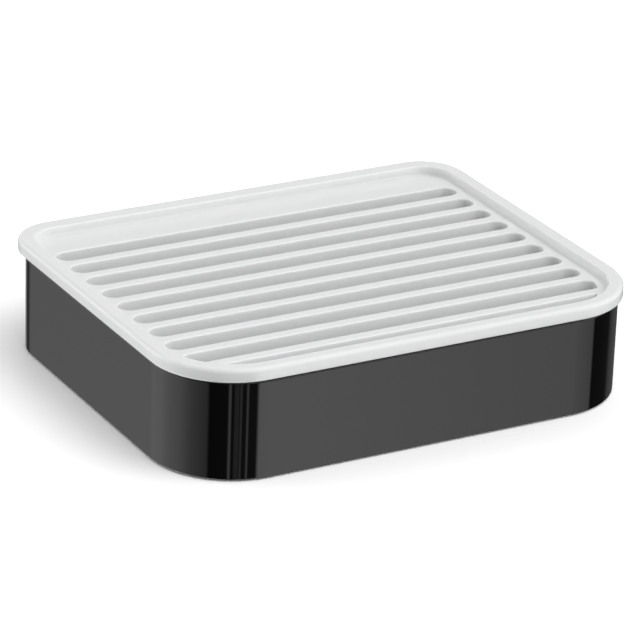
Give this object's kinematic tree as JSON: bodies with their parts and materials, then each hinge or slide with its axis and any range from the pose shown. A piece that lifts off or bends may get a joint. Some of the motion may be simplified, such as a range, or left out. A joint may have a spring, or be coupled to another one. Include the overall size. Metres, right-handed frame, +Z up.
{
  "type": "soap dish",
  "caption": "Rectangular soap dish with round corners: a glossy box catches water below a lift-out slotted drainer tray with an overhanging rim.",
  "frame": {"origin": "on the surface that the dish stands on, under the middle of the tray's outline", "axes": "+X along the long side to the user's right, +Y away from the user to the side with the wide plain ledge and the tighter corners, +Z up"},
  "size_m": [0.11, 0.09, 0.0252],
  "materials": {
    "black_gloss_plastic": "mirror-bright moulded black plastic",
    "white_gloss_plastic": "smooth glossy moulded white plastic",
    "black_rubber": "matt black rubber"
  },
  "bodies": {
    "dish": {"dish_box": "black_gloss_plastic", "nonslip_pad_front_left": "black_rubber", "nonslip_pad_front_right": "black_rubber", "nonslip_pad_back_left": "black_rubber", "nonslip_pad_back_right": "black_rubber"},
    "drainer": {"drainer_tray": "white_gloss_plastic"}
  },
  "joints": [
    {"name": "drainer_lift", "type": "slide", "parent": "dish", "child": "drainer", "axis": [0, 0, 1], "range_m": [0, 0.05]}
  ]
}
